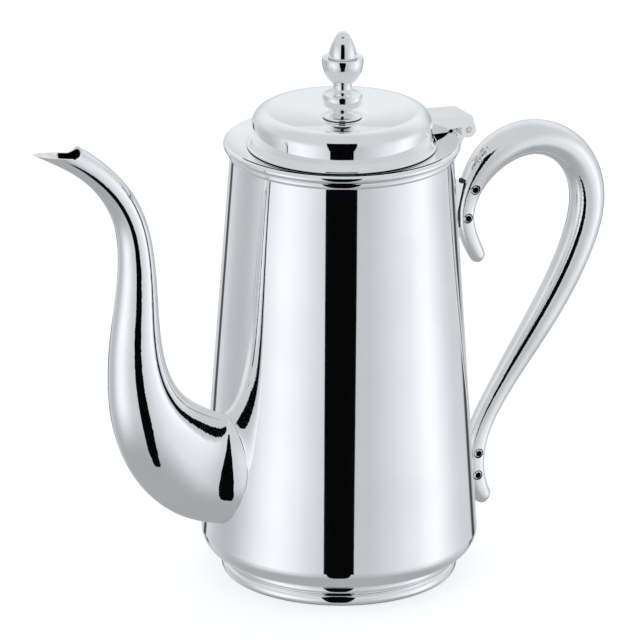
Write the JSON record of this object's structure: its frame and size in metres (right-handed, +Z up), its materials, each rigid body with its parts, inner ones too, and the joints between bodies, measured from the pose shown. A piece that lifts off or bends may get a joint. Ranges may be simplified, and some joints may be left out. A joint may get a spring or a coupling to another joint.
{
  "type": "coffee pot",
  "caption": "Tapered metal coffee pot with swan-neck spout, hinged domed lid with acorn finial, and riveted loop handle.",
  "frame": {"origin": "centre of the foot's underside, on the body's axis", "axes": "+Z up along the body's axis; the spout points along -X; the hinge and the handle lie along +X; XZ is the plane of symmetry"},
  "size_m": [0.2282, 0.1008, 0.2031],
  "materials": {
    "body_steel": "mirror-polished stainless steel",
    "cast_steel": "mirror-polished cast stainless steel",
    "fixing_steel": "satin machined stainless steel",
    "insulator_fibre": "matte black vulcanised fibre"
  },
  "bodies": {
    "pot": {"pot_body": "body_steel", "foot_ring": "body_steel", "rim_gallery": "body_steel", "spout": "body_steel", "body_hinge_bracket": "cast_steel", "hinge_pin": "fixing_steel", "handle": "cast_steel", "upper_handle_lug": "cast_steel", "lower_handle_lug": "cast_steel", "upper_handle_insulator": "insulator_fibre", "lower_handle_insulator": "insulator_fibre", "handle_rivets": "cast_steel"},
    "lid": {"lid_shell": "body_steel", "lid_bezel": "body_steel", "finial_base": "cast_steel", "finial_collar": "cast_steel", "finial_acorn": "cast_steel", "finial_washer": "fixing_steel", "finial_nut": "fixing_steel", "finial_stud": "fixing_steel", "lid_hinge_leaf": "cast_steel"}
  },
  "joints": [
    {"name": "lid_hinge", "type": "hinge", "parent": "pot", "child": "lid", "pos_m": [0.0478, 0, 0.1616], "axis": [0, 1, 0], "range_deg": [0, 100]}
  ]
}
